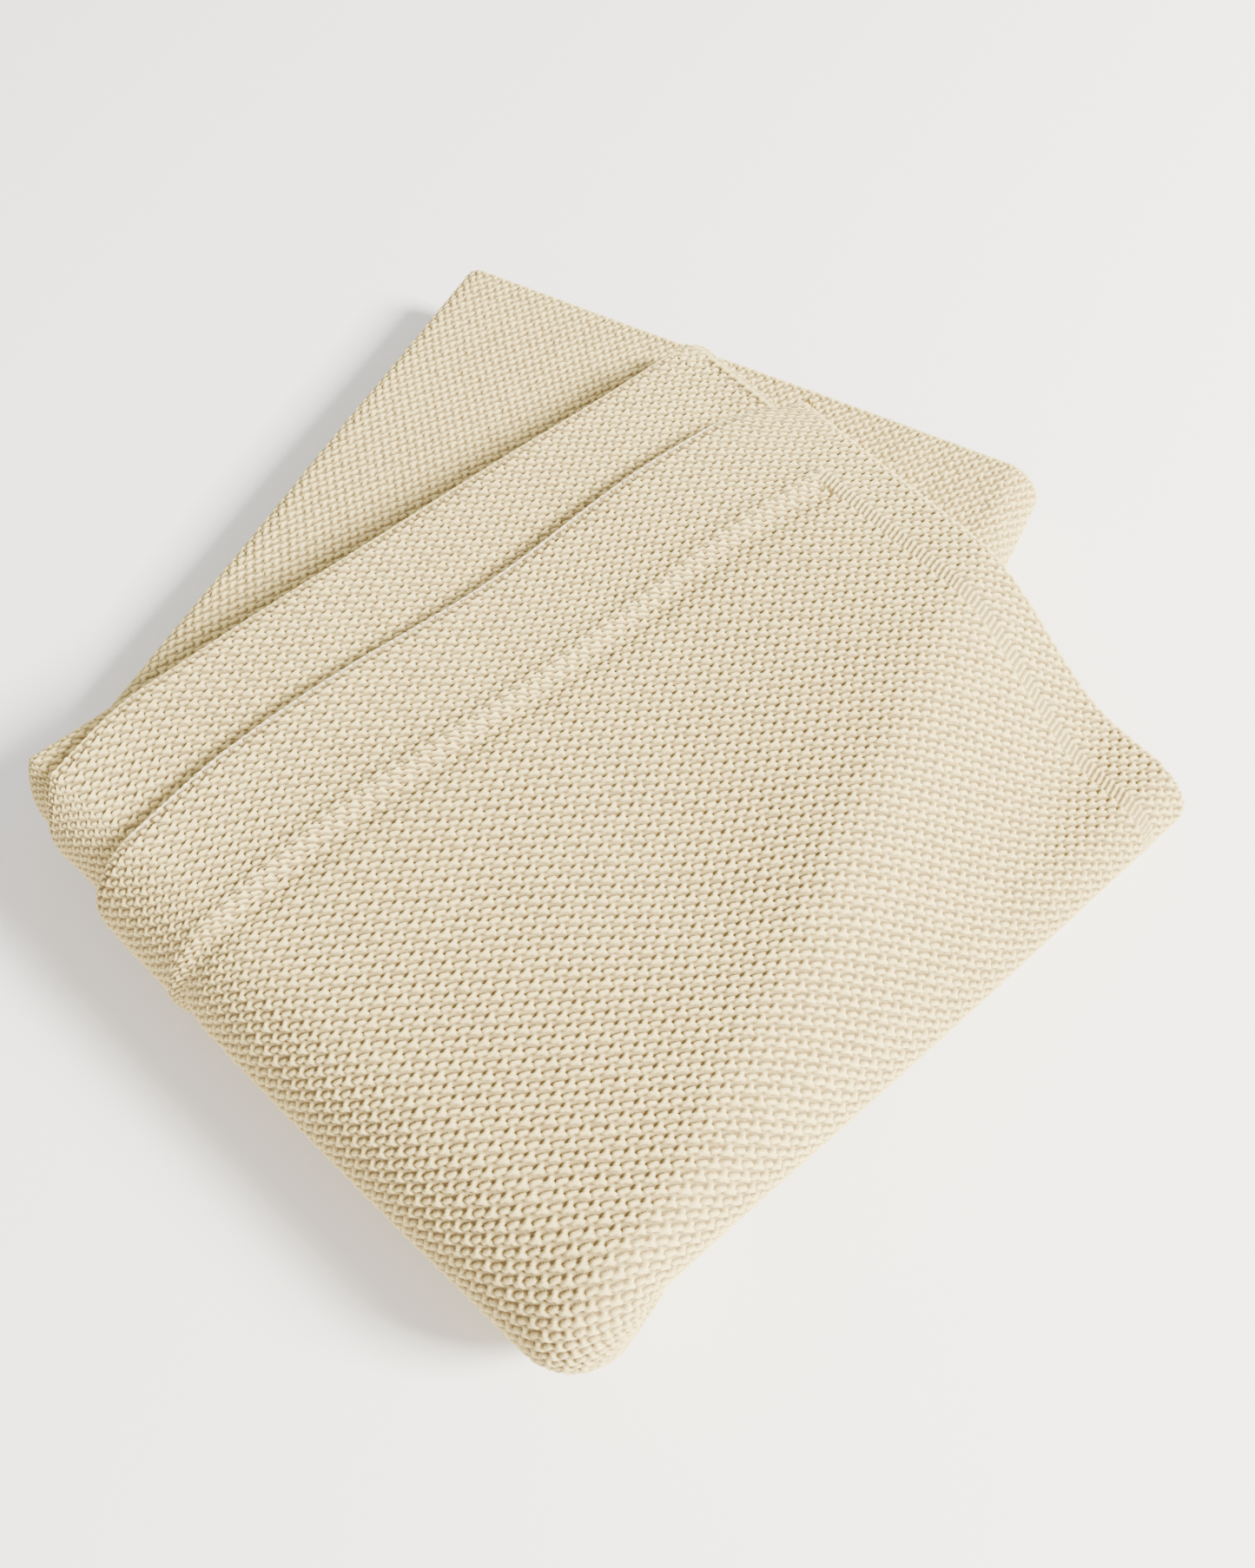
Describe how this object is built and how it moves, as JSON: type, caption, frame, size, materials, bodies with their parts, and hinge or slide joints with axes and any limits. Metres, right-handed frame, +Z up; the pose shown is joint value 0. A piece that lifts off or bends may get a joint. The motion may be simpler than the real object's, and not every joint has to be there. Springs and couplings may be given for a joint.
{
  "type": "folded throw blanket",
  "caption": "Thick knitted throw in a nubbly moss stitch with a joined border band, folded into a soft stack whose upper half is turned askew on the lower half.",
  "frame": {"origin": "middle of the folded stack's bounding box, on the surface it lies on", "axes": "+X runs along the upper packet's long edges from the last fold to the open end, +Y from its front fold to the free edges, +Z is up"},
  "size_m": [0.4568, 0.4451, 0.0756],
  "materials": {
    "field_knit": "matt moss-stitch cotton knit",
    "band_knit": "matt moss-stitch cotton knit",
    "join_row": "row of long slanted linking stitches",
    "edge_chain": "chained cotton edge with a row of eyelets"
  },
  "bodies": {
    "lower_packet": {"lower_leaf_1": "field_knit", "lower_leaf_2": "field_knit", "lower_leaf_3": "field_knit", "lower_leaf_4": "field_knit", "lower_end_fold_1": "field_knit", "lower_end_fold_2": "field_knit", "lower_end_fold_3": "field_knit", "lower_end_fold_4": "field_knit", "lower_front_fold": "field_knit", "lower_core_fold": "field_knit", "lower_back_fold": "field_knit", "turn_fold_inner": "field_knit", "turn_fold_outer": "field_knit"},
    "upper_packet": {"upper_leaf_1": "field_knit", "upper_leaf_2": "field_knit", "upper_back_fold": "field_knit", "upper_front_fold": "field_knit", "upper_core_fold": "field_knit", "second_leaf": "field_knit", "second_side_edge": "edge_chain", "second_end_edge": "edge_chain", "top_lining": "field_knit", "top_field": "field_knit", "top_end_join": "join_row", "top_end_band": "band_knit", "top_end_edge": "edge_chain", "top_side_join": "join_row", "top_side_band": "band_knit", "top_side_edge": "edge_chain"},
    "second_corner": {"second_corner": "field_knit", "second_corner_side_edge": "edge_chain", "second_corner_end_edge": "edge_chain"},
    "top_corner": {"corner_lining": "field_knit", "corner_field": "field_knit", "corner_end_join": "join_row", "corner_end_band": "band_knit", "corner_end_edge": "edge_chain", "corner_side_join": "join_row", "corner_side_band": "band_knit", "corner_side_edge": "edge_chain"}
  },
  "joints": [
    {"name": "last_fold", "type": "hinge", "parent": "lower_packet", "child": "upper_packet", "pos_m": [-0.1726, -0.06144, 0.0378], "axis": [0.1908, -0.9816, 0], "range_deg": [0, 180], "deforming": ["turn_fold_inner", "turn_fold_outer"]},
    {"name": "second_corner_turn", "type": "hinge", "parent": "upper_packet", "child": "second_corner", "pos_m": [-0.0336, 0.03206, 0.0816], "axis": [-0.8406, 0.5417, 0], "range_deg": [-45, 0]},
    {"name": "top_corner_turn", "type": "hinge", "parent": "upper_packet", "child": "top_corner", "pos_m": [-0.0336, 0.03206, 0.0816], "axis": [-0.8406, 0.5417, 0], "range_deg": [-150, 0]}
  ],
  "couplings": [
    {"joint": "second_corner_turn", "follows": "top_corner_turn", "ratio": 0.3}
  ]
}
